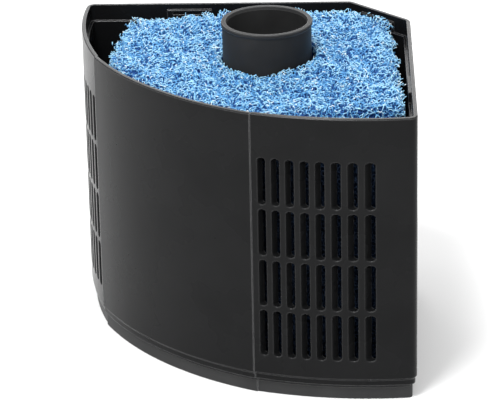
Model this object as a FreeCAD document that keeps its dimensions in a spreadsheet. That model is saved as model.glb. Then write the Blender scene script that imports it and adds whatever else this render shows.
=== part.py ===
import FreeCAD, Part
import math
import os

import Sketcher
from FreeCAD import Placement, Rotation, Vector

# Corner filter module for an aquarium: an open-topped slotted casing that clips over a base
# plate, a foam block inside it, and a suction tube that stands in the foam.
#
# Frame: millimetres, +Z up. The mirror plane of the plan is X = 0, the bowed front faces -Y and
# the cut-off back corner faces +Y. The origin is at the middle of the base plate's underside.

SIZES = [
    # overall plan and height
    ("width", 131.5, "across the two sharp side corners of the plan"),
    ("depth", 87.8, "from the cut-off back corner to the middle of the front"),
    ("height", 82.3, "from the underside of the base to the casing's rim"),
    # outline of the plan
    ("corner_cut", 16.6, "length that the cut takes off each rear wall at the back corner"),
    ("crease_half", 31.0, "from the middle to each crease of the front"),
    ("crease_step", 0.35, "how far the middle panel stands proud of the slotted ones"),
    ("front_radius", 89.9, "bow of the middle panel"),
    ("side_radius", 97.2, "bow of the slotted panels"),
    ("corner_round", 2.6, "rounding of the outer corners"),
    ("least_round", 0.5, "least rounding of a corner that is set back"),
    # casing walls
    ("wall", 1.9, "wall of the casing"),
    ("rim_wall", 1.1, "wall of the casing around the rim socket"),
    ("socket_depth", 4.8, "depth of the rim socket"),
    ("rim_bevel", 0.3, "bevel of the rim's outer edge"),
    ("band_inset", 0.45, "how far the foot band stands back from the wall"),
    ("band_height", 1.5, "height of the foot band"),
    ("band_slope", 0.6, "height of the sloped edge above the foot band"),
    # slots of the casing
    ("slot_width", 1.85, "width of a slot, across the front, inside its rounded edges"),
    ("slot_height", 13.5, "height of a slot"),
    ("slot_rib", 1.53, "rib between two slots of a row"),
    ("slot_bar", 1.35, "bar between two rows of slots"),
    ("slot_edge", 0.25, "rounding of the slots' outer edges"),
    ("slot_first", 2.5, "from the crease to the middle of the first slot"),
    ("slot_last", 7.9, "least distance from the last slot's middle to the side corner"),
    ("slot_below", 7.5, "plain wall below the slots"),
    ("slot_above", 12.2, "plain wall above the slots"),
    # snap receivers in the rim
    ("latch_place", 29.5, "from a side corner to the middle of the receiver on that wall"),
    ("latch_width", 12.8, "width of a receiver's block"),
    ("latch_drop", 1.7, "from the rim down to the top of a receiver's block"),
    ("latch_window", 9.6, "width of a receiver's window"),
    ("latch_bar", 0.5, "bar above the window"),
    ("latch_gap", 0.8, "height of the window"),
    ("latch_depth", 1.2, "depth of the window, from the block's inner face"),
    # base plate
    ("lip_inset", 1.2, "how far the base lip stands back, to enter a rim socket"),
    ("lip_height", 3.5, "height of the base lip"),
    ("lip_wall", 1.6, "wall of the base lip"),
    ("seam_height", 0.8, "height of the seam between the lip and the casing"),
    ("seam_inset", 1.5, "how far the neck in the seam stands back"),
    ("floor_thickness", 1.8, "thickness of the floor"),
    ("floor_top", 5.0, "height of the floor's upper face"),
    ("spigot_gap", 0.3, "clearance between the spigot and the casing"),
    ("spigot_wall", 1.4, "wall of the spigot that the casing slides over"),
    ("spigot_height", 6.0, "height of the spigot above the seam"),
    ("rib_thickness", 1.4, "thickness of the ribs under the floor"),
    ("rib_recess", 0.6, "how far the ribs stand back from the underside"),
    ("rib_forward", 6.0, "from the line of the side corners to the cross rib"),
    ("rib_side_gap", 8.4, "from the ends of the cross rib to the side corners, across"),
    ("recess_gap", 0.3, "clearance between a receiver and its recess in the lip, each side"),
    # suction tube
    ("tube_setback", 57.1, "from the rear walls' meeting point to the tube's axis"),
    ("tube_radius", 12.4, "outer radius of the suction tube"),
    ("tube_wall", 1.35, "wall of the suction tube around its mouth socket"),
    ("stop_step", 0.5, "step of the bore that stops a nozzle in the mouth socket"),
    ("tube_above_rim", 8.8, "how far the tube stands above the casing's rim"),
    ("bead_out", 0.3, "how far the bead at the tube's mouth stands out"),
    ("bead_height", 1.2, "height of the bead"),
    ("mouth_flare", 0.4, "how far the bore opens out at the mouth"),
    ("mouth_socket", 26.0, "depth of the mouth socket, from the mouth to the step"),
    ("port_width", 3.0, "width of an inlet port in the tube"),
    ("port_height", 9.0, "height of an inlet port"),
    ("port_bar", 3.5, "bar between two rows of ports"),
    ("port_foot", 9.0, "plain length of the tube above the floor"),
    ("ports_around", 8, "ports in one row"),
    ("seat_gap", 0.3, "clearance between the tube's bore and its seat on the base"),
    ("seat_wall", 1.5, "wall of the seat"),
    ("seat_height", 6.0, "height of the seat above the floor"),
    # sponge
    ("sponge_below_rim", 2.0, "from the rim down to the sponge's top"),
    ("sponge_back_gap", 0.9, "gap between the sponge and the spigot at the cut-off corner"),
    ("sponge_back_half", 6.0, "half the width of the sponge's back face"),
    ("sponge_wall_gap", 0.9, "gap between the sponge and the spigot, at the side corners"),
    ("sponge_corner_gap", 11.5, "from the sponge's side corner to the casing's, across"),
    ("sponge_front_gap", 0.5, "gap between the sponge and the spigot's steps in front"),
    ("sponge_bore_gap", 0.15, "clearance between the sponge's bore and the tube's bead"),
    ("sponge_round", 4.0, "rounding of the sponge's upright corners"),
    # cuts
    ("cut_over", 1.0, "how far a cut runs on past what it goes through"),
]

LEAST_CUT = 0.5         # cubic millimetres that a cut takes away at the least
NEAR = 0.02             # an edge this close to a surface lies on it
BOX_PLAY = 0.1          # how much larger than an edge its box may be

doc = FreeCAD.newDocument("corner_filter")


def make_sheet():
    """The sheet of driving dimensions, one row each: name, value, meaning."""
    sheet = doc.addObject("Spreadsheet::Sheet", "Sizes")
    for row, (name, value, meaning) in enumerate(SIZES, start=1):
        sheet.set("A%d" % row, name)
        sheet.set("B%d" % row, str(value))
        sheet.set("C%d" % row, meaning)
        sheet.setAlias("B%d" % row, name)
    doc.recompute()
    return sheet


sheet = make_sheet()
NAMES = sorted((name for name, _, _ in SIZES), key=len, reverse=True)


def cells(text):
    """An expression in the sheet's names, with each name written as a cell of the sheet."""
    out = []
    word = ""
    for letter in text + " ":
        if letter.isalnum() or letter == "_" or (letter == "." and word[:1].isdigit()):
            word += letter
            continue
        out.append("Sizes." + word if word in NAMES else word)
        out.append(letter)
        word = ""
    return "".join(out).strip()


def bare(text, scope):
    """The expression with each name replaced by its number."""
    out = cells(text)
    for name in NAMES:
        out = out.replace("Sizes." + name, repr(scope[name]))
    return out


def value(text):
    """The number that an expression in the sheet's names stands for."""
    scope = {name: float(getattr(sheet, name)) for name in NAMES}
    result = doc.Sizes.evalExpression(bare(text, scope))
    return float(getattr(result, "Value", result))


def bind(thing, path, text):
    thing.setExpression(path, cells(text))


# Heights and places that several pieces share, in the sheet's names.
SEAM = "(lip_height + seam_height)"
RIM = "height"
LEDGE = "(height - socket_depth)"
TUBE_TOP = "(height + tube_above_rim)"
ROOT2 = "1.414213562373"
WALL_LINE = "(depth / 2 + corner_cut / %s)" % ROOT2
TUBE_Y = "(%s - tube_setback)" % WALL_LINE
FRONT_CENTRE = "(front_radius - depth / 2)"
CREASE_Y = "(%s - sqrt(front_radius ^ 2 - crease_half ^ 2) + crease_step)" % FRONT_CENTRE
CORNER_Y = "(%s - width / 2)" % WALL_LINE
SLOT_PITCH = "(slot_width + slot_rib)"
ROW_PITCH = "(slot_height + slot_bar)"


def new_body(label):
    body = doc.addObject("PartDesign::Body", label)
    body.Label = label
    return body


def new_sketch(body, name, role="XY_Plane", offset=None):
    """A sketch on one of the body's origin planes, raised along that plane's normal."""
    plane = next(item for item in body.Origin.OriginFeatures if item.Role == role)
    sketch = body.newObject("Sketcher::SketchObject", name)
    sketch.AttachmentSupport = [(plane, "")]
    sketch.MapMode = "FlatFace"
    if offset is not None:
        bind(sketch, "AttachmentOffset.Base.z", offset)
    return sketch


def constrain(sketch, kind, *where):
    """A constraint; the last item may be a text, which is bound as an expression."""
    if isinstance(where[-1], str):
        index = sketch.addConstraint(Sketcher.Constraint(kind, *where[:-1], value(where[-1])))
        sketch.setExpression("Constraints[%d]" % index, cells(where[-1]))
        return
    sketch.addConstraint(Sketcher.Constraint(kind, *where))


START, END, CENTRE = 1, 2, 3
ORIGIN = (-1, 1)
Y_AXIS = -2


def pin(sketch, geometry, point, x_text, y_text):
    """Hold a point at X and Y from the origin."""
    constrain(sketch, "DistanceX", *ORIGIN, geometry, point, x_text)
    constrain(sketch, "DistanceY", *ORIGIN, geometry, point, y_text)


def arc_between(centre, radius, first, last):
    """The arc from one point to the other, counter-clockwise about the centre."""
    start = math.atan2(first.y - centre.y, first.x - centre.x)
    end = math.atan2(last.y - centre.y, last.x - centre.x)
    circle = Part.Circle(centre, Vector(0, 0, 1), radius)
    return Part.ArcOfCircle(circle, start, end)


def side_centre():
    """Centre of the right-hand slotted panel's bow."""
    corner = Vector(value("width / 2"), value(CORNER_Y), 0)
    crease = Vector(value("crease_half"), value(CREASE_Y), 0)
    chord = corner - crease
    middle = (corner + crease) * 0.5
    reach = math.sqrt(value("side_radius") ** 2 - chord.Length ** 2 / 4)
    inward = Vector(-chord.y, chord.x, 0).normalize()
    return middle + inward * reach


def mirrored(point):
    return Vector(-point.x, point.y, 0)


def plan_outline(body, name, height, inset):
    """The plan of the casing, set back by inset all round, as one closed and rounded outline.

    The rounding of a corner that is set back is smaller by as much, down to a small one.
    """
    sketch = new_sketch(body, name, offset=height)
    back = value(inset)
    rounding = "max(corner_round - (%s); least_round)" % inset
    radius = max(value("corner_round") - back, value("least_round"))
    line_at = value(WALL_LINE) - back * math.sqrt(2)
    slope = Vector(1, 1, 0).normalize()

    front = Vector(0, value(FRONT_CENTRE), 0)
    front_radius = value("front_radius") - back
    half = value("crease_half")
    proud = Vector(half, front.y - math.sqrt(front_radius ** 2 - half ** 2), 0)
    side = side_centre()
    side_radius = value("side_radius") - back
    crease = Vector(half, side.y - math.sqrt(side_radius ** 2 - (half - side.x) ** 2), 0)

    # rounded side corner: its centre is as far inside the wall line as inside the bow
    inner = line_at - radius * math.sqrt(2)
    reach = side_radius - radius
    middle = (inner - side.x - side.y) / 2
    along = math.sqrt(reach ** 2 / 2 - middle ** 2)
    turn = Vector(side.x + middle + along, side.y + middle - along, 0)
    on_bow = side + (turn - side) * (side_radius / reach)
    on_wall = turn + slope * radius

    # rounded back corner, between the wall and the cut
    cut_y = value("depth / 2") - back
    back_x = line_at - cut_y
    back_turn = Vector(back_x - radius * math.tan(math.pi / 8), cut_y - radius, 0)
    on_wall_back = back_turn + slope * radius
    on_cut = Vector(back_turn.x, cut_y, 0)

    pieces = [
        Part.LineSegment(on_wall_back, on_wall),
        arc_between(turn, radius, on_bow, on_wall),
        arc_between(side, side_radius, crease, on_bow),
        Part.LineSegment(crease, proud),
        arc_between(front, front_radius, mirrored(proud), proud),
        Part.LineSegment(mirrored(proud), mirrored(crease)),
        arc_between(mirrored(side), side_radius, mirrored(on_bow), mirrored(crease)),
        arc_between(mirrored(turn), radius, mirrored(on_wall), mirrored(on_bow)),
        Part.LineSegment(mirrored(on_wall), mirrored(on_wall_back)),
        arc_between(mirrored(back_turn), radius, mirrored(on_cut), mirrored(on_wall_back)),
        Part.LineSegment(mirrored(on_cut), on_cut),
        arc_between(back_turn, radius, on_wall_back, on_cut),
    ]
    sketch.addGeometry(pieces, False)
    wall_r, corner_r, side_r, step_r, bow, step_l, side_l, corner_l, wall_l, back_l, cut, back_r = (
        range(12)
    )
    corner = Vector(value("width / 2"), value(CORNER_Y), 0)
    outer_crease = Vector(half, value(CREASE_Y), 0)
    full = value("side_radius")
    guides = [
        arc_between(side, full, outer_crease, corner),
        arc_between(mirrored(side), full, mirrored(corner), mirrored(outer_crease)),
    ]
    sketch.addGeometry(guides, True)
    guide_r, guide_l = 12, 13

    # each smooth join holds its two ends together as well
    smooth = [
        (wall_r, END, corner_r, END), (corner_r, START, side_r, END),
        (side_l, START, corner_l, END), (corner_l, START, wall_l, START),
        (wall_l, END, back_l, END), (back_l, START, cut, START),
        (cut, END, back_r, END), (back_r, START, wall_r, START),
    ]
    for join in smooth:
        constrain(sketch, "Tangent", *join)
    sharp = [
        (side_r, START, step_r, START), (step_r, END, bow, END),
        (bow, START, step_l, START), (step_l, END, side_l, END),
        (side_r, CENTRE, guide_r, CENTRE), (side_l, CENTRE, guide_l, CENTRE),
    ]
    for join in sharp:
        constrain(sketch, "Coincident", *join)
    for arc in (corner_r, corner_l, back_r, back_l):
        constrain(sketch, "Radius", arc, rounding)
    for arc in (side_r, side_l):
        constrain(sketch, "Radius", arc, "side_radius - (%s)" % inset)
    constrain(sketch, "Radius", bow, "front_radius - (%s)" % inset)
    pin(sketch, bow, CENTRE, "0", FRONT_CENTRE)
    constrain(sketch, "Horizontal", cut)
    constrain(sketch, "DistanceY", *ORIGIN, cut, START, "depth / 2 - (%s)" % inset)
    for line, turned in ((wall_r, -math.pi / 4), (wall_l, math.pi / 4)):
        sketch.addConstraint(Sketcher.Constraint("Angle", line, turned))
        constrain(sketch, "Distance", *ORIGIN, line, "%s / %s - (%s)" % (WALL_LINE, ROOT2, inset))
    for step, sign in ((step_r, ""), (step_l, "-")):
        constrain(sketch, "Vertical", step)
        constrain(sketch, "DistanceX", *ORIGIN, step, START, sign + "crease_half")
    for guide, sign, crease_end, corner_end in (
        (guide_r, "", START, END),
        (guide_l, "-", END, START),
    ):
        pin(sketch, guide, crease_end, sign + "crease_half", CREASE_Y)
        pin(sketch, guide, corner_end, sign + "width / 2", CORNER_Y)
        constrain(sketch, "Radius", guide, "side_radius")
    return sketch


def polygon(sketch, corners):
    """A closed outline of straight lines through corners given as pairs of texts."""
    first = sketch.GeometryCount
    points = [Vector(value(x), value(y), 0) for x, y in corners]
    count = len(points)
    for index, point in enumerate(points):
        sketch.addGeometry(Part.LineSegment(point, points[(index + 1) % count]), False)
    for index in range(count):
        following = first + (index + 1) % count
        constrain(sketch, "Coincident", first + index, END, following, START)
    for index, (x, y) in enumerate(corners):
        pin(sketch, first + index, START, x, y)


def circle(sketch, radius, x="0", y="0"):
    shape = Part.Circle(Vector(value(x), value(y), 0), Vector(0, 0, 1), value(radius))
    index = sketch.addGeometry(shape, False)
    constrain(sketch, "Radius", index, radius)
    pin(sketch, index, CENTRE, x, y)


def upright_slot(sketch, x, bottom, width, height):
    """A slot with round ends, standing upright, its middle line at x."""
    half = value(width) / 2
    low = Vector(value(x), value(bottom) + half, 0)
    high = Vector(value(x), value(bottom) + value(height) - half, 0)
    side = Vector(half, 0, 0)
    first = sketch.GeometryCount
    top, left, foot, right = range(first, first + 4)
    sketch.addGeometry(arc_between(high, half, high + side, high - side), False)
    sketch.addGeometry(Part.LineSegment(high - side, low - side), False)
    sketch.addGeometry(arc_between(low, half, low - side, low + side), False)
    sketch.addGeometry(Part.LineSegment(low + side, high + side), False)
    constrain(sketch, "Tangent", top, END, left, START)
    constrain(sketch, "Tangent", left, END, foot, START)
    constrain(sketch, "Tangent", foot, END, right, START)
    constrain(sketch, "Tangent", right, END, top, START)
    constrain(sketch, "Vertical", left)
    constrain(sketch, "Radius", foot, "(%s) / 2" % width)
    pin(sketch, foot, CENTRE, x, "%s + (%s) / 2" % (bottom, width))
    constrain(sketch, "DistanceY", foot, CENTRE, top, CENTRE, "(%s) - (%s)" % (height, width))


def pad(body, sketch, name, length):
    feature = body.newObject("PartDesign::Pad", name)
    feature.Profile = sketch
    bind(feature, "Length", length)
    return feature


def pocket(body, sketch, name, length, downward=True):
    """A cut of the given length, below the sketch or above it."""
    feature = body.newObject("PartDesign::Pocket", name)
    feature.Profile = sketch
    feature.Reversed = not downward
    bind(feature, "Length", length)
    return feature


def removes(body, feature, before):
    """Stop if a cut has taken nothing away."""
    doc.recompute()
    if body.Shape.Volume > before - LEAST_CUT:
        raise RuntimeError("%s cuts nothing from %s" % (feature.Name, body.Label))


def cut_checked(body, sketch, name, length, downward=True):
    doc.recompute()
    before = body.Shape.Volume
    feature = pocket(body, sketch, name, length, downward)
    removes(body, feature, before)
    return feature


def row(body, name, axis, length, count):
    """A linear pattern, for use as one step of a multiple pattern."""
    feature = body.newObject("PartDesign::LinearPattern", name)
    feature.Direction = axis
    bind(feature, "Length", length)
    bind(feature, "Occurrences", count)
    return feature


def patterned(body, name, original, steps):
    """The original cut repeated by each step in turn."""
    feature = body.newObject("PartDesign::MultiTransform", name)
    feature.Originals = [original]
    feature.Transformations = steps
    body.Tip = feature
    doc.recompute()
    return feature


# Receivers sit in the right rear wall, the left rear wall and the cut. For each: how far its wall
# stands from the origin, the wall's unit normal, the unit direction along the wall, and how far
# along it the receiver is.
DIAGONAL = 1 / math.sqrt(2)
LATCH_WALLS = [
    ("(%s / %s)" % (WALL_LINE, ROOT2), (DIAGONAL, DIAGONAL), (DIAGONAL, -DIAGONAL),
     "(width / %s - %s / %s - latch_place)" % (ROOT2, WALL_LINE, ROOT2)),
    ("(%s / %s)" % (WALL_LINE, ROOT2), (-DIAGONAL, DIAGONAL), (-DIAGONAL, -DIAGONAL),
     "(width / %s - %s / %s - latch_place)" % (ROOT2, WALL_LINE, ROOT2)),
    ("(depth / 2)", (0, 1), (1, 0), "0"),
]


def wall_blocks(sketch, width, outer, inner):
    """A rectangle across each latch wall, between two insets from the wall's outer face."""
    for reach, normal, along, place in LATCH_WALLS:
        corners = []
        for side, inset in ((-1, outer), (1, outer), (1, inner), (-1, inner)):
            run = "(%s + %d * (%s) / 2)" % (place, side, width)
            rise = "(%s - (%s))" % (reach, inset)
            corners.append(tuple(
                "(%.12f * %s + %.12f * %s)" % (along[axis], run, normal[axis], rise)
                for axis in (0, 1)
            ))
        polygon(sketch, corners)


def sloped(body, name, foot, top):
    """A sloped edge all round, from one height and inset to another."""
    slope = body.newObject("PartDesign::AdditiveLoft", name)
    slope.Profile = plan_outline(body, name + "_foot", *foot)
    slope.Sections = [plan_outline(body, name + "_top", *top)]
    slope.Ruled = True


def make_casing():
    """Open-topped shell: foot band, slotted bowed panels, rim socket and snap receivers."""
    body = new_body("casing")
    band_top = "(%s + band_height)" % SEAM
    wall_foot = "(%s + band_height + band_slope)" % SEAM
    band = plan_outline(body, "band_outline", SEAM, "band_inset")
    pad(body, band, "foot_band", "band_height")
    sloped(body, "band_edge", (band_top, "band_inset"), (wall_foot, "0"))
    wall_top = "(%s - rim_bevel)" % RIM
    outer = plan_outline(body, "wall_outline", wall_foot, "0")
    pad(body, outer, "outer_wall", "%s - %s" % (wall_top, wall_foot))
    sloped(body, "rim_edge", (wall_top, "0"), (RIM, "rim_bevel"))
    cavity = plan_outline(body, "cavity_outline", RIM, "wall")
    cut_checked(body, cavity, "cavity", "%s - %s + cut_over" % (RIM, SEAM))
    socket = plan_outline(body, "socket_outline", RIM, "rim_wall")
    cut_checked(body, socket, "rim_socket", "socket_depth")
    cut_slots(body)
    make_receivers(body)
    return body


def cut_slots(body):
    """Rows of upright slots through both bowed panels, all cut straight from the front."""
    across = "(width / 2 - slot_last - crease_half - slot_first)"
    last_slot = "(width / 2 - slot_last + slot_width / 2)"
    # the cut starts inside the casing, clear of the rear walls beside the last slot
    start = "(cut_over - (%s - wall * %s - %s))" % (WALL_LINE, ROOT2, last_slot)
    sketch = new_sketch(body, "slot_outline", "XZ_Plane", offset=start)
    upright_slot(sketch, "crease_half + slot_first", "(%s + slot_below)" % SEAM,
                 "slot_width", "slot_height")
    first = cut_checked(body, sketch, "slot", "depth", downward=False)
    columns = row(body, "slot_columns", (sketch, ["H_Axis"]),
                  "floor(%s / %s) * %s" % (across, SLOT_PITCH, SLOT_PITCH),
                  "floor(%s / %s) + 1" % (across, SLOT_PITCH))
    tall = "((height - slot_above - %s - slot_below + slot_bar) / %s)" % (SEAM, ROW_PITCH)
    rows = row(body, "slot_rows", (sketch, ["V_Axis"]),
               "(floor(%s) - 1) * %s" % (tall, ROW_PITCH), "floor(%s)" % tall)
    other_side = body.newObject("PartDesign::Mirrored", "slots_mirrored")
    other_side.MirrorPlane = (sketch, ["V_Axis"])
    slots = patterned(body, "slots", first, [columns, rows, other_side])
    edges = slot_edges(slots.Shape)
    rounded = body.newObject("PartDesign::Fillet", "slot_edges")
    rounded.Base = (slots, edges)
    bind(rounded, "Radius", "slot_edge")


def slot_edges(shape):
    """Names of the edges where the slots come out of the bowed panels."""
    side = side_centre()
    low = value("%s + slot_below" % SEAM) - BOX_PLAY
    high = value("height - slot_above") + BOX_PLAY
    names = []
    for index, edge in enumerate(shape.Edges, start=1):
        if edge.BoundBox.ZMin < low or edge.BoundBox.ZMax > high:
            continue
        middle = edge.valueAt((edge.FirstParameter + edge.LastParameter) / 2)
        reach = math.hypot(abs(middle.x) - side.x, middle.y - side.y)
        if abs(reach - value("side_radius")) < NEAR:
            names.append("Edge%d" % index)
    return names


def make_receivers(body):
    """Blocks in the rim socket, flush with the wall below, with a window in each for a tongue."""
    block_top = "(%s - latch_drop)" % RIM
    blocks = new_sketch(body, "receiver_blocks", offset=LEDGE)
    wall_blocks(blocks, "latch_width", "rim_wall / 2", "wall")
    pad(body, blocks, "receivers", "socket_depth - latch_drop")
    windows = new_sketch(body, "receiver_windows", offset="(%s - latch_bar)" % block_top)
    wall_blocks(windows, "latch_window", "wall - latch_depth", "wall + cut_over")
    cut_checked(body, windows, "latch_windows", "latch_gap")


def make_base_plate():
    """Floor with a lip below, a spigot that the casing slides over, and the tube's seat."""
    body = new_body("base_plate")
    lip = plan_outline(body, "lip_outline", "0", "lip_inset")
    pad(body, lip, "lip", "lip_height")
    neck = plan_outline(body, "neck_outline", "lip_height", "seam_inset")
    pad(body, neck, "neck", "seam_height")
    spigot = plan_outline(body, "spigot_outline", SEAM, "wall + spigot_gap")
    pad(body, spigot, "spigot", "spigot_height")
    spigot_top = "(%s + spigot_height)" % SEAM
    tray = plan_outline(body, "tray_outline", spigot_top, "wall + spigot_gap + spigot_wall")
    cut_checked(body, tray, "tray", "%s - floor_top" % spigot_top)
    under = plan_outline(body, "underside_outline", "0", "lip_inset + lip_wall")
    cut_checked(body, under, "underside", "floor_top - floor_thickness", downward=False)
    make_ribs(body)
    make_tube_seat(body)
    make_lip_recesses(body)
    return body


def make_ribs(body):
    """Ribs under the floor, in a cross: one from side to side and one from back to front."""
    ribs = new_sketch(body, "rib_outline", offset="rib_recess")
    back = "(depth / 2 - lip_inset - lip_wall / 2)"
    front = "(-depth / 2 + lip_inset + lip_wall / 2)"
    side = "(width / 2 - rib_side_gap)"
    half = "rib_thickness / 2"
    low = "(%s + rib_forward)" % CORNER_Y
    polygon(ribs, [
        ("-" + half, front), (half, front), (half, "%s - %s" % (low, half)),
        (side, "%s - %s" % (low, half)), (side, "%s + %s" % (low, half)),
        (half, "%s + %s" % (low, half)), (half, back), ("-" + half, back),
        ("-" + half, "%s + %s" % (low, half)), ("-" + side, "%s + %s" % (low, half)),
        ("-" + side, "%s - %s" % (low, half)), ("-" + half, "%s - %s" % (low, half)),
    ])
    pad(body, ribs, "ribs", "floor_top - floor_thickness - rib_recess")


def make_tube_seat(body):
    """Ring that the suction tube slips over."""
    seat = new_sketch(body, "seat_outline", offset="floor_top")
    outer = "tube_radius - tube_wall - stop_step - seat_gap"
    circle(seat, outer, "0", TUBE_Y)
    circle(seat, outer + " - seat_wall", "0", TUBE_Y)
    pad(body, seat, "tube_seat", "seat_height")


def make_lip_recesses(body):
    """Recesses in the lip that pass over the receivers of a like rim."""
    sketch = new_sketch(body, "recess_outline", offset="lip_height")
    wall_blocks(sketch, "latch_width + 2 * recess_gap", "-cut_over", "wall + recess_gap / 2")
    cut_checked(body, sketch, "lip_recesses", "lip_height + cut_over")


def make_suction_tube():
    """Round tube with a beaded mouth, a stepped bore and rows of inlet ports."""
    body = new_body("suction_tube")
    outer = "(%s + tube_radius)" % TUBE_Y
    inner = "(%s - tube_wall)" % outer
    narrow = "(%s - stop_step)" % inner
    step = "(%s - mouth_socket)" % TUBE_TOP
    bead = "(%s + bead_out)" % outer
    bead_low = "(%s - bead_height)" % TUBE_TOP
    profile = new_sketch(body, "tube_profile", "YZ_Plane")
    polygon(profile, [
        (narrow, "floor_top"),
        (outer, "floor_top"),
        (outer, bead_low),
        (bead, "%s + bead_out" % bead_low),
        (bead, "%s - bead_out" % TUBE_TOP),
        ("%s - bead_out / 2" % bead, TUBE_TOP),
        ("%s + mouth_flare" % inner, TUBE_TOP),
        (inner, "%s - 2 * mouth_flare" % TUBE_TOP),
        (inner, step),
        (narrow, step),
    ])
    axis = profile.addGeometry(Part.LineSegment(
        Vector(value(TUBE_Y), 0, 0), Vector(value(TUBE_Y), value(TUBE_TOP), 0)), True)
    pin(profile, axis, START, TUBE_Y, "0")
    pin(profile, axis, END, TUBE_Y, TUBE_TOP)
    turned = body.newObject("PartDesign::Revolution", "tube")
    turned.Profile = profile
    turned.ReferenceAxis = (profile, ["Axis0"])
    turned.Angle = 360
    cut_ports(body)
    return body


def cut_ports(body):
    """Rows of upright ports around the tube, inside the sponge."""
    sketch = new_sketch(body, "port_outline", "YZ_Plane")
    upright_slot(sketch, TUBE_Y, "(floor_top + port_foot)", "port_width", "port_height")
    first = cut_checked(body, sketch, "port", "2 * tube_radius", downward=False)
    axis = new_sketch(body, "tube_axis", offset="0")
    circle(axis, "tube_radius", "0", TUBE_Y)
    room = "((%s - mouth_socket - floor_top - port_foot + port_bar) / (port_height + port_bar))" % (
        TUBE_TOP)
    rows = row(body, "port_rows", (sketch, ["V_Axis"]),
               "(floor(%s) - 1) * (port_height + port_bar)" % room, "floor(%s)" % room)
    around = body.newObject("PartDesign::PolarPattern", "ports_round")
    around.Axis = (axis, ["N_Axis"])
    around.Angle = 360
    bind(around, "Occurrences", "ports_around")
    patterned(body, "ports", first, [rows, around])


def make_filter_sponge():
    """Foam block, cut simply: straight behind and beside, bowed in front, bored for the tube."""
    body = new_body("filter_sponge")
    inside = "(wall + spigot_gap + spigot_wall)"
    bow = "(front_radius - %s - crease_step - sponge_front_gap)" % inside
    back_y = "(depth / 2 - %s - sponge_back_gap)" % inside
    side_x = "(width / 2 - sponge_corner_gap)"
    side_y = "(%s - %s - (%s + sponge_wall_gap) * %s)" % (WALL_LINE, side_x, inside, ROOT2)
    front_y = "(%s - sqrt(%s ^ 2 - crease_half ^ 2))" % (FRONT_CENTRE, bow)
    sketch = new_sketch(body, "sponge_outline", offset="floor_top")
    back = Vector(value("sponge_back_half"), value(back_y), 0)
    side = Vector(value(side_x), value(side_y), 0)
    front = Vector(value("crease_half"), value(front_y), 0)
    centre = Vector(0, value(FRONT_CENTRE), 0)
    rear_r, flank_r, bow_arc, flank_l, rear_l, rear = range(6)
    sketch.addGeometry([
        Part.LineSegment(back, side),
        Part.LineSegment(side, front),
        arc_between(centre, value(bow), mirrored(front), front),
        Part.LineSegment(mirrored(front), mirrored(side)),
        Part.LineSegment(mirrored(side), mirrored(back)),
        Part.LineSegment(mirrored(back), back),
    ], False)
    joins = [
        (rear_r, END, flank_r, START), (flank_r, END, bow_arc, END),
        (bow_arc, START, flank_l, START), (flank_l, END, rear_l, START),
        (rear_l, END, rear, START), (rear, END, rear_r, START),
    ]
    for join in joins:
        constrain(sketch, "Coincident", *join)
    pin(sketch, rear_r, START, "sponge_back_half", back_y)
    pin(sketch, rear_r, END, side_x, side_y)
    pin(sketch, rear_l, END, "-sponge_back_half", back_y)
    pin(sketch, rear_l, START, "-" + side_x, side_y)
    pin(sketch, bow_arc, CENTRE, "0", FRONT_CENTRE)
    constrain(sketch, "Radius", bow_arc, bow)
    constrain(sketch, "DistanceX", *ORIGIN, bow_arc, END, "crease_half")
    constrain(sketch, "DistanceX", *ORIGIN, bow_arc, START, "-crease_half")
    block = pad(body, sketch, "block", "%s - sponge_below_rim - floor_top" % RIM)
    doc.recompute()
    upright = [
        "Edge%d" % index for index, edge in enumerate(block.Shape.Edges, start=1)
        if edge.BoundBox.ZLength > NEAR
    ]
    corners = body.newObject("PartDesign::Fillet", "corner_rounding")
    corners.Base = (block, upright)
    bind(corners, "Radius", "sponge_round")
    bore = new_sketch(body, "sponge_bore_outline", offset=RIM)
    circle(bore, "tube_radius + bead_out + sponge_bore_gap", "0", TUBE_Y)
    cut_checked(body, bore, "sponge_bore", RIM)
    return body


def check(body):
    """Stop if anything in the document failed or the piece is not one sound solid."""
    for item in doc.Objects:
        if "Invalid" in item.State or "Error" in item.State:
            raise RuntimeError("%s failed: %s" % (item.Name, item.State))
    shape = body.Shape
    if shape.isNull() or not shape.isValid() or len(shape.Solids) != 1:
        raise RuntimeError("%s is not one sound solid" % body.Label)


def main():
    bodies = [make_base_plate(), make_casing(), make_suction_tube(), make_filter_sponge()]
    doc.recompute()
    for body in bodies:
        check(body)
    os.makedirs("parts", exist_ok=True)
    for body in bodies:
        body.Placement = Placement(Vector(0, 0, 0), Rotation())
        body.Shape.exportStep("parts/%s.step" % body.Label)
        box = body.Shape.BoundBox
        print(body.Label, "%.1f x %.1f x %.1f mm," % (box.XLength, box.YLength, box.ZLength),
              "z %.1f to %.1f," % (box.ZMin, box.ZMax), "%.1f cm3" % (body.Shape.Volume / 1000))


main()
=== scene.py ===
import math

import bpy
import numpy as np
from mathutils import Matrix, Vector


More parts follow.
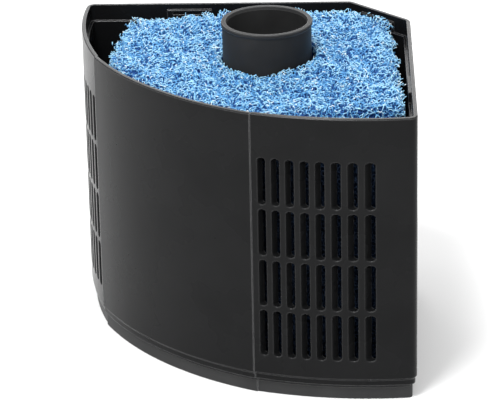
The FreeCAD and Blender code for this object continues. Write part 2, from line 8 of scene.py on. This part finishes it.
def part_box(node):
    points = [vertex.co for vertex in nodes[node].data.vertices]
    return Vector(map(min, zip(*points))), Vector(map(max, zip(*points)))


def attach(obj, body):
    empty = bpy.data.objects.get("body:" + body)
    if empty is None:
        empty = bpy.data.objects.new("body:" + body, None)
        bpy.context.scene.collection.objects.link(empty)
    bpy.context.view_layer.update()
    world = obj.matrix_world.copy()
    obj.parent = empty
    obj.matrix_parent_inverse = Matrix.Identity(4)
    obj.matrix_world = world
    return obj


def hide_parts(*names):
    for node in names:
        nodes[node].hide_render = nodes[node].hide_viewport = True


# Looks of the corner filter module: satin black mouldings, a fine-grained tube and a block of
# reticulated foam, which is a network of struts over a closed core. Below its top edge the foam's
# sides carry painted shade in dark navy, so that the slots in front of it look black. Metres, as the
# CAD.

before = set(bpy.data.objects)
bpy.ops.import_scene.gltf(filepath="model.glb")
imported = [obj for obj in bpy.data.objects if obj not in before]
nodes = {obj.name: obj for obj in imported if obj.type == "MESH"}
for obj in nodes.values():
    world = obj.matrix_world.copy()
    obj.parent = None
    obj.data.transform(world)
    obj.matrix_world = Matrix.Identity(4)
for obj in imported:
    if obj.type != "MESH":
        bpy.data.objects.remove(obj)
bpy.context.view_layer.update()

MM = 0.001

# foam
CELL = 1.6 * MM             # side of the cube that holds two cells of the foam
STRUT = 0.125 * MM          # radius of a strut
WANDER = 0.17               # how far the middle of a cell strays, as a share of CELL
EDGE_ROUND = 3.0 * MM       # rounding of the block's edges
RAGGED = 1.6 * MM           # how far the top's edges are eaten away
RAGGED_DEEP = 7.0 * MM      # down to here
PRESSED_FROM = 20.0 * MM    # towards the curved walls the block is pressed and keeps its edge
PRESSED_OVER = 8.0 * MM     # and over how much that sets in
PRESSED_KEPT = 0.75         # share of the ragged edge that is spared there
SKIN_TOP = 2.6 * MM         # depth of open cells over the core
SKIN_EDGE = 5.0 * MM        # the same along the top's edges, seen from beside
SKIN_SIDE = 1.0 * MM
SKIN_BORE = 0.8 * MM
BORE_DEEP = 9.0 * MM        # how far down the bore the open cells go
CORE_TOP = 1.9 * MM         # how far the core lies below the top
CORE_SIDE = 1.0 * MM        # and inside the sides
CORE_EDGE = 4.5 * MM        # and inside the edges of the top
SHADE_FROM = 5.0 * MM       # below the top, where the painted shade on the sides starts
SHADE_OVER = 7.0 * MM       # and over how much
SWELL = 0.055               # how much the top spreads behind, as a share
RISE = 2.0 * MM             # and how far it rises there
PIECE_STRUTS = 24000        # struts in one piece

# ---------------------------------------------------------------- materials

def new_material(name, colour, roughness):
    """A material with one Principled shader, and the parts of its node tree."""
    material = bpy.data.materials.new(name)
    material.use_nodes = True
    tree = material.node_tree
    shader = tree.nodes["Principled BSDF"]
    shader.inputs["Base Color"].default_value = (*colour, 1)
    shader.inputs["Roughness"].default_value = roughness
    return material, tree, shader


def node(tree, kind, **sockets):
    made = tree.nodes.new(kind)
    for name, value in sockets.items():
        made.inputs[name.replace("_", " ")].default_value = value
    return made


def noise(tree, scale, detail=3.0, roughness=0.55):
    """Noise in the object's own coordinates; scale is in features per metre."""
    place = tree.nodes.new("ShaderNodeTexCoord")
    made = node(tree, "ShaderNodeTexNoise", Scale=scale, Detail=detail, Roughness=roughness)
    tree.links.new(place.outputs["Object"], made.inputs["Vector"])
    return made


def ramp(tree, source, low, high, first, second):
    """Maps a factor from low..high to the colours or greys first..second."""
    made = tree.nodes.new("ShaderNodeValToRGB")
    made.color_ramp.elements[0].position = low
    made.color_ramp.elements[1].position = high
    for element, colour in zip(made.color_ramp.elements, (first, second)):
        element.color = colour if isinstance(colour, tuple) else (colour, colour, colour, 1)
    tree.links.new(source, made.inputs["Fac"])
    return made.outputs["Color"]


def bump(tree, shader, source, strength, distance, under=None):
    """Raises the shader's surface by the source, on top of the normal given as under."""
    made = node(tree, "ShaderNodeBump", Strength=strength, Distance=distance)
    tree.links.new(source, made.inputs["Height"])
    if under is not None:
        tree.links.new(under, made.inputs["Normal"])
    tree.links.new(made.outputs["Normal"], shader.inputs["Normal"])


SHEEN = 0.10                # specular level of the mouldings
EDGE_SHEEN = 0.6            # and of their edges
EDGE_HIGHLIGHT = (0.10, 0.101, 0.103, 1)  # painted highlight, added to the colour along the edges
EDGE_REACH = 0.35 * MM      # how far from an edge the rounding and its painted highlight go
EDGE_SEEN, EDGE_GONE = 0.86, 0.985   # cosines of the rounded to the flat normal
BLACK = (0, 0, 0, 1)
BLOTCHES = 55               # blotches per metre


def moulded_plastic(name, dark, light, rough_low, rough_high, grain, depth):
    """Black injection-moulded plastic: spark-eroded grain, faint blotches, glossier edges with a
    painted highlight.

    The edges are found by comparing a rounded normal with the flat one.
    """
    material, tree, shader = new_material(name, dark, rough_high)
    blotch = noise(tree, BLOTCHES, 3.0).outputs["Fac"]
    fine = noise(tree, grain, 2.0).outputs["Fac"]
    edges = tree.nodes.new("ShaderNodeBevel")
    edges.samples = 4
    edges.inputs["Radius"].default_value = EDGE_REACH
    flat = tree.nodes.new("ShaderNodeNewGeometry")
    turned = tree.nodes.new("ShaderNodeVectorMath")
    turned.operation = "DOT_PRODUCT"
    tree.links.new(edges.outputs["Normal"], turned.inputs[0])
    tree.links.new(flat.outputs["Normal"], turned.inputs[1])
    likeness = turned.outputs["Value"]
    tone = ramp(tree, blotch, 0.3, 0.7, (*dark, 1), (*light, 1))
    # Painted highlight: a pale tone added to the colour along the edges.
    painted_highlight = ramp(tree, likeness, EDGE_SEEN, EDGE_GONE, EDGE_HIGHLIGHT, BLACK)
    colour = tree.nodes.new("ShaderNodeVectorMath")
    tree.links.new(tone, colour.inputs[0])
    tree.links.new(painted_highlight, colour.inputs[1])
    tree.links.new(colour.outputs["Vector"], shader.inputs["Base Color"])
    gloss = ramp(tree, blotch, 0.25, 0.75, rough_low, rough_high)
    tree.links.new(gloss, shader.inputs["Roughness"])
    shine = ramp(tree, likeness, EDGE_SEEN, EDGE_GONE, EDGE_SHEEN, SHEEN)
    tree.links.new(shine, shader.inputs["Specular IOR Level"])
    bump(tree, shader, fine, 0.5, depth, under=edges.outputs["Normal"])
    return material


def foam_core_material(name, light, dark):
    """Colour seen through the open cells, dark as painted shade in the pores, mottled at the size of
    a cell.
    """
    material, tree, shader = new_material(name, light, 0.9)
    shader.inputs["Specular IOR Level"].default_value = 0.1
    place = tree.nodes.new("ShaderNodeTexCoord")
    cells = node(tree, "ShaderNodeTexVoronoi", Scale=1 / (0.9 * CELL), Randomness=1.0)
    tree.links.new(place.outputs["Object"], cells.inputs["Vector"])
    tone = ramp(tree, cells.outputs["Distance"], 0.1, 0.75, (*light, 1), (*dark, 1))
    tree.links.new(tone, shader.inputs["Base Color"])
    bump(tree, shader, cells.outputs["Distance"], 0.8, 0.4 * MM)
    return material


# Tints of the struts, with painted shade from the pale tops down into the pores.
TINTS = [
    # a painted highlight on a few of the pale struts
    ("foam_glint", (0.80, 0.92, 0.98), 0.3),
    ("foam_pale", (0.36, 0.70, 0.95), 0.4),
    ("foam_mid", (0.12, 0.40, 0.76), 0.5),
    ("foam_deep", (0.025, 0.13, 0.42), 0.6),
    # painted shade for the sides below the top edge
    ("foam_shade", (0.006, 0.020, 0.052), 0.8),
]
GLINT, PALE, MID, DEEP, SHADE = range(5)


def strut_materials():
    made = []
    for name, colour, roughness in TINTS:
        material, _, shader = new_material(name, colour, roughness)
        shader.inputs["Specular IOR Level"].default_value = 0.4
        made.append(material)
    return made


# ---------------------------------------------------------------- foam

def hull_2d(points):
    """Convex outline of points in the plan, counter-clockwise."""
    points = sorted(set(map(tuple, np.round(points, 7))))

    def half(items):
        chain = []
        for p in items:
            while len(chain) > 1:
                a, b = chain[-2], chain[-1]
                if (b[0] - a[0]) * (p[1] - a[1]) - (b[1] - a[1]) * (p[0] - a[0]) > 0:
                    break
                chain.pop()
            chain.append(p)
        return chain[:-1]

    return np.array(half(points) + half(points[::-1]))


def thinned(outline, least):
    """The outline without points closer together than least."""
    kept = [outline[0]]
    for point in outline[1:]:
        if np.hypot(*(point - kept[-1])) > least:
            kept.append(point)
    return np.array(kept)


def waves(x, y, z, length, seed):
    """A smooth wandering value about zero, with features about length across."""
    rng = np.random.default_rng(seed)
    total = np.zeros_like(x)
    for _ in range(4):
        direction = rng.normal(size=3)
        direction *= 2 * math.pi / length / np.linalg.norm(direction)
        total += np.sin(direction[0] * x + direction[1] * y + direction[2] * z
                        + rng.uniform(0, 2 * math.pi))
    return total / 2


class Block:
    """The foam block's shape, as a depth below its surface; read from the CAD node."""

    def __init__(self, name, tube):
        mesh = nodes[name].data
        points = np.array([v.co for v in mesh.vertices])
        low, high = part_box(name)
        tube_low, tube_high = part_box(tube)
        self.bottom, self.top = low.z, high.z
        top = points[points[:, 2] > high.z - 0.1 * MM]
        self.outline = thinned(hull_2d(top[:, :2]), 0.8 * MM)
        self.centre = ((tube_low + tube_high) / 2).xy
        reach = np.hypot(top[:, 0] - self.centre.x, top[:, 1] - self.centre.y)
        self.bore = float(reach.min())
        self.low, self.high = np.array(low), np.array(high)
        start = self.outline
        end = np.roll(start, -1, axis=0)
        along = end - start
        along /= np.linalg.norm(along, axis=1)[:, None]
        self.inward = np.stack([-along[:, 1], along[:, 0]], 1)
        self.offset = (self.inward * start).sum(1)

    def side_depth(self, x, y):
        """Depth below the upright sides."""
        depth = np.full(x.shape, np.inf)
        for (nx, ny), offset in zip(self.inward, self.offset):
            np.minimum(depth, nx * x + ny * y - offset, out=depth)
        return depth

    def depths(self, points):
        """Depth below the sides, the top, the bottom and the bore."""
        x, y, z = points.T
        top = self.top - z
        pressed = np.clip((0.6 * x - 0.8 * y - PRESSED_FROM) / PRESSED_OVER, 0, 1)
        eaten = RAGGED * np.clip(1 - top / RAGGED_DEEP, 0.15, 1) * (1 - PRESSED_KEPT * pressed)
        side = self.side_depth(x, y) - eaten * (0.6 + waves(x, y, z, 2.6 * MM, 3))
        bottom = z - self.bottom
        bore = np.hypot(x - self.centre.x, y - self.centre.y) - self.bore
        return side, top, bottom, bore


def rounded_depth(first, second, radius):
    """Depth below two faces that meet in a rounded edge."""
    a = np.maximum(radius - first, 0)
    b = np.maximum(radius - second, 0)
    return np.minimum(np.minimum(first, second), radius - np.hypot(a, b))


def in_skin(side, top, bottom, bore, margin=0.0):
    """Whether a point is in the layer of open cells over the core."""
    edge = (side < SKIN_EDGE + margin) & (top < SKIN_EDGE + margin)
    inside = (bore < SKIN_BORE + margin) & (top < BORE_DEEP + margin)
    skin = (side < SKIN_SIDE + margin) | (top < SKIN_TOP + margin) | (bottom < SKIN_SIDE + margin)
    return skin | edge | inside


# The corners of a truncated octahedron of the body-centred lattice, in quarters of its cube.
JUNCTIONS = [(0, 1, 2), (0, 3, 2), (0, 2, 1), (0, 2, 3), (1, 0, 2), (3, 0, 2),
             (2, 0, 1), (2, 0, 3), (1, 2, 0), (3, 2, 0), (2, 1, 0), (2, 3, 0)]
STRUT_MOVES = [(1, 1, 0), (1, -1, 0), (1, 0, 1), (1, 0, -1), (0, 1, 1), (0, 1, -1)]


def cells_about(junction):
    """The four cells that meet in a junction: which lattice, and the step to the cell's cube."""
    found = []
    for lattice, base in ((0, 0), (1, 2)):
        for step in np.ndindex(3, 3, 3):
            place = 4 * (np.array(step) - 1) + base
            if ((place - np.array(junction)) ** 2).sum() == 5:
                found.append((lattice, np.array(step)))
    return found


def cell_network(block):
    """Junctions and struts of the open cells near the block's surface.

    The cells are truncated octahedra on a body-centred lattice turned away from the block's
    faces. Each cell's middle strays at random, and a junction follows the four cells it joins.
    """
    step = CELL / 4
    turn = np.array(Matrix.Rotation(0.71, 3, "X") @ Matrix.Rotation(0.23, 3, "Z")
                    @ Matrix.Rotation(0.39, 3, "Y"))
    middle = (block.low + block.high) / 2
    corners = np.array([[x, y, z] for x in (0, 1) for y in (0, 1) for z in (0, 1)])
    reach = np.abs((corners - 0.5) * (block.high - block.low) @ turn).max(0) + CELL
    count = np.ceil(2 * reach / CELL).astype(int)
    rng = np.random.default_rng(7)
    stray = rng.normal(0, WANDER * CELL, (2, *(count + 2), 3))
    size = 4 * (count + 1)
    keys, places = [], []
    cubes = np.indices(count).reshape(3, -1).T
    for shift in JUNCTIONS:
        place = (cubes * 4 + np.array(shift)) * step - reach
        for lattice, cell in cells_about(shift):
            i, j, k = (cubes + cell).T
            place += stray[lattice, i, j, k] / 2
        place = place @ turn.T + middle
        near = ((place > block.low - CELL) & (place < block.high + CELL)).all(1)
        grid, place = cubes[near] * 4 + np.array(shift), place[near]
        kept = in_skin(*block.depths(place), margin=CELL)
        grid, place = grid[kept], place[kept]
        keys.append((grid[:, 0] * size[1] + grid[:, 1]) * size[2] + grid[:, 2])
        places.append(place)
    keys, places = np.concatenate(keys), np.concatenate(places)
    order = np.argsort(keys)
    keys, places = keys[order], places[order]
    pairs = []
    for move in STRUT_MOVES:
        other = keys + (move[0] * size[1] + move[1]) * size[2] + move[2]
        found = np.searchsorted(keys, other).clip(0, len(keys) - 1)
        hit = keys[found] == other
        pairs.append(np.stack([np.nonzero(hit)[0], found[hit]], 1))
    return places, np.concatenate(pairs)


def surface_struts(block):
    """The two ends of each strut that shows, and its tint."""
    places, pairs = cell_network(block)
    ends = places[pairs]
    middle = ends.mean(1)
    side, top, bottom, bore = block.depths(middle)
    outer = rounded_depth(rounded_depth(side, top, EDGE_ROUND), bottom, EDGE_ROUND / 2)
    outer = np.minimum(outer, bore)
    shown = in_skin(side, top, bottom, bore) & (outer > 0)
    for end in (0, 1):
        tip = ends[:, end]
        shown &= (tip > block.low).all(1) & (tip[:, 2] < block.high[2])
        shown &= np.hypot(tip[:, 0] - block.centre.x, tip[:, 1] - block.centre.y) > block.bore
    rng = np.random.default_rng(21)
    chance = rng.random(len(middle))
    # Painted shade: the deeper a strut lies below the top and the sides, the darker its tint.
    depth = np.minimum(rounded_depth(side, top, EDGE_ROUND), bore) + rng.normal(0, 0.12 * MM,
                                                                               len(middle))
    tint = np.select([depth < 0.45 * MM, depth < 1.0 * MM], [PALE, MID], DEEP)
    # Painted highlight: a tenth of the pale struts turn near white.
    tint[(tint == PALE) & (chance < 0.10)] = GLINT
    # Painted shade: below SHADE_FROM under the top, more and more struts turn dark navy.
    tint[chance < (top - SHADE_FROM) / SHADE_OVER] = SHADE
    return ends[shown], tint[shown]


def settle(points, block):
    """The block as it sits in the casing: behind, its top spreads to the walls and rises."""
    x, y, z = points.T
    share = np.clip((z - block.bottom) / (block.top - block.bottom), 0, 1)
    behind = np.clip((y + 0.25 * x + 15 * MM) / (25 * MM), 0, 1)
    behind = behind * behind * (3 - 2 * behind)
    uneven = 0.3 * MM * waves(x, y, 0 * z, 13 * MM, 5)
    moved = points.copy()
    moved[:, :2] *= 1 + (SWELL * share ** 2 * behind)[:, None]
    moved[:, 2] += share ** 8 * (RISE * behind + uneven)
    return moved


def strut_mesh(name, ends, radii, tints):
    """Closed three-sided bars between the ends; tints gives each its material slot."""
    axis = ends[:, 1] - ends[:, 0]
    axis /= np.linalg.norm(axis, axis=1)[:, None]
    helper = np.where(np.abs(axis[:, 2:3]) < 0.8, [[0.0, 0.0, 1.0]], [[1.0, 0.0, 0.0]])
    first = np.cross(axis, helper)
    first /= np.linalg.norm(first, axis=1)[:, None]
    second = np.cross(axis, first)
    ring = []
    for turn in (0, 1, 2):
        angle = 2 * math.pi * turn / 3
        ring.append(math.cos(angle) * first + math.sin(angle) * second)
    ring = np.stack(ring, 1) * radii[:, None, None]
    low = ends[:, 0][:, None] + ring - 0.4 * radii[:, None, None] * axis[:, None]
    high = ends[:, 1][:, None] + ring + 0.4 * radii[:, None, None] * axis[:, None]
    points = np.concatenate([low, high], 1).reshape(-1, 3)
    base = np.arange(len(ends))[:, None] * 6
    pattern = np.array([0, 1, 4, 3, 1, 2, 5, 4, 2, 0, 3, 5, 2, 1, 0, 3, 4, 5])
    loops = (base + pattern[None]).reshape(-1)
    sizes = np.tile([4, 4, 4, 3, 3], len(ends))
    mesh = bpy.data.meshes.new(name)
    mesh.vertices.add(len(points))
    mesh.vertices.foreach_set("co", points.ravel().astype(np.float32))
    mesh.loops.add(len(loops))
    mesh.loops.foreach_set("vertex_index", loops.astype(np.int32))
    mesh.polygons.add(len(sizes))
    starts = np.concatenate([[0], np.cumsum(sizes)[:-1]])
    mesh.polygons.foreach_set("loop_start", starts.astype(np.int32))
    mesh.polygons.foreach_set("material_index", np.repeat(tints, 5).astype(np.int32))
    mesh.update(calc_edges=True)
    mesh.validate()
    return mesh


def link(name, mesh, materials):
    piece = bpy.data.objects.new(name, mesh)
    bpy.context.scene.collection.objects.link(piece)
    for material in materials:
        mesh.materials.append(material)
    return piece


def inset_outline(block, depth):
    """The block's outline set back by depth, corner by corner."""
    normals = block.inward
    previous = np.roll(normals, 1, axis=0)
    mitre = normals + previous
    mitre /= (mitre * normals).sum(1)[:, None]
    return block.outline + mitre * depth


def foam_core(block, materials):
    """Closed body under the open cells, with the bore through it; its bottom and sides carry painted
    shade.
    """
    count = 240
    around = np.linspace(-math.pi, math.pi, count, endpoint=False)
    ways = np.stack([np.cos(around), np.sin(around)], 1)
    inner = np.array(block.centre) + (block.bore + 0.3 * MM) * ways

    def ring(depth, level):
        outline = inset_outline(block, depth)
        angles = np.arctan2(outline[:, 1] - block.centre.y, outline[:, 0] - block.centre.x)
        order = np.argsort(angles)
        plan = [np.interp(around, angles[order], outline[order, axis], period=2 * math.pi)
                for axis in (0, 1)]
        return np.stack([*plan, np.full(count, level)], 1)

    def bore_ring(level):
        return np.column_stack([inner, np.full(count, level)])

    low, high = block.bottom + CORE_SIDE, block.top - CORE_TOP
    rings = [bore_ring(low), ring(CORE_SIDE, low), ring(CORE_SIDE, block.top - SKIN_EDGE),
             ring(CORE_EDGE, high), bore_ring(high)]
    points = settle(np.concatenate(rings), block)
    faces = []
    for index in range(len(rings)):
        first, after = index * count, (index + 1) % len(rings) * count
        for i in range(count):
            j = (i + 1) % count
            faces.append((first + i, first + j, after + j, after + i))
    mesh = bpy.data.meshes.new("foam_core")
    mesh.from_pydata(points.tolist(), [], faces)
    # the bottom and the sides take the core material with painted shade, the rest the blue one
    mesh.polygons.foreach_set("material_index", [0] * (2 * count) + [1] * (len(faces) - 2 * count))
    mesh.update()
    return link("foam_core", mesh, materials)


def declare_foam(piece):
    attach(piece, "sponge")
    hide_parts("filter_sponge")


def make_foam():
    block = Block("filter_sponge", "suction_tube")
    # the core's bottom and sides in painted shade, its top and bore in blue
    shaded = foam_core_material("foam_core_shaded", (0.004, 0.013, 0.034), (0.001, 0.004, 0.010))
    blue = foam_core_material("foam_core_blue", (0.03, 0.12, 0.38), (0.004, 0.02, 0.10))
    declare_foam(foam_core(block, [shaded, blue]))
    ends, tints = surface_struts(block)
    ends = settle(ends.reshape(-1, 3), block).reshape(-1, 2, 3)
    rng = np.random.default_rng(22)
    radii = STRUT * rng.uniform(0.8, 1.25, len(ends))
    order = np.argsort(ends[:, 0, 0] + 3 * (ends[:, 0, 2] > block.top - SKIN_EDGE))
    materials = strut_materials()
    count = math.ceil(len(ends) / PIECE_STRUTS)
    for index, part in enumerate(np.array_split(order, count), start=1):
        name = "foam_cells_%02d" % index
        mesh = strut_mesh(name, ends[part], radii[part], tints[part])
        declare_foam(link(name, mesh, materials))
    print("foam struts", len(ends), "pieces", count)


# ---------------------------------------------------------------- mouldings

def dress(name, material):
    """Gives a CAD node its finish; its shape stays as it is."""
    mesh = nodes[name].data
    if not mesh.materials:
        mesh.materials.append(material)
    for index in range(len(nodes[name].material_slots)):
        nodes[name].material_slots[index].material = material


def make_mouldings():
    black = moulded_plastic("casing_plastic", (0.006, 0.0062, 0.0065), (0.009, 0.0092, 0.0096),
                            0.22, 0.32, 2600, 0.03 * MM)
    base = moulded_plastic("base_plastic", (0.03, 0.0305, 0.031), (0.045, 0.0455, 0.046),
                           0.36, 0.5, 2600, 0.05 * MM)
    tube = moulded_plastic("tube_plastic", (0.018, 0.0182, 0.0186), (0.032, 0.0323, 0.0327),
                           0.40, 0.58, 3000, 0.08 * MM)
    dress("casing", black)
    dress("base_plate", base)
    dress("suction_tube", tube)


# ---------------------------------------------------------------- stage

TARGET = Vector((-0.74, -8.43, 38.92)) * MM
CAMERA_AZIMUTH = math.radians(46.57)
CAMERA_ELEVATION = math.radians(23.01)
CAMERA_ROLL = math.radians(-1.12)
CAMERA_DISTANCE = 0.8787
SENSOR = 36.0
FOCAL_SHARE = 6.229         # focal length over the picture's width


def looking(azimuth, elevation):
    """Unit direction from the camera; azimuth 0 looks along +Y, and the camera goes round to +X."""
    return Vector((-math.sin(azimuth) * math.cos(elevation),
                   math.cos(azimuth) * math.cos(elevation), -math.sin(elevation)))


def aim(thing, place, direction, roll=0.0):
    turn = direction.to_track_quat("-Z", "Y").to_matrix().to_4x4()
    thing.matrix_world = Matrix.Translation(place) @ turn @ Matrix.Rotation(roll, 4, "Z")


def make_camera():
    camera = bpy.data.objects.new("camera", bpy.data.cameras.new("camera"))
    bpy.context.scene.collection.objects.link(camera)
    camera.data.sensor_width = SENSOR
    camera.data.lens = SENSOR * FOCAL_SHARE
    camera.data.clip_start = 0.01
    direction = looking(CAMERA_AZIMUTH, CAMERA_ELEVATION)
    aim(camera, TARGET - direction * CAMERA_DISTANCE, direction, CAMERA_ROLL)
    bpy.context.scene.camera = camera


def softbox(name, azimuth, elevation, distance, size, power):
    """A square soft light that looks at the object from the given side."""
    lamp = bpy.data.objects.new(name, bpy.data.lights.new(name, "AREA"))
    bpy.context.scene.collection.objects.link(lamp)
    lamp.data.shape = "SQUARE"
    lamp.data.size = size
    lamp.data.energy = power
    direction = looking(math.radians(azimuth), math.radians(elevation))
    aim(lamp, TARGET - direction * distance, direction)


def make_stage():
    mesh = bpy.data.meshes.new("floor")
    half = 4.0
    corners = [(-half, -half, 0), (half, -half, 0), (half, half, 0), (-half, half, 0)]
    mesh.from_pydata(corners, [], [(0, 1, 2, 3)])
    material, _, _ = new_material("floor", (0.9, 0.9, 0.9), 0.9)
    link("floor", mesh, [material])
    world = bpy.data.worlds.new("world")
    world.use_nodes = True
    world.node_tree.nodes["Background"].inputs["Color"].default_value = (1, 1, 1, 1)
    world.node_tree.nodes["Background"].inputs["Strength"].default_value = 0.85
    bpy.context.scene.world = world
    softbox("top_light", 15, 65, 0.9, 0.22, 6)
    softbox("sky_light", 46, 70, 1.2, 1.2, 3)
    softbox("back_light", 226, 30, 1.2, 0.9, 6)
    bpy.context.scene.view_settings.view_transform = "Standard"


make_mouldings()
make_foam()
make_stage()
make_camera()
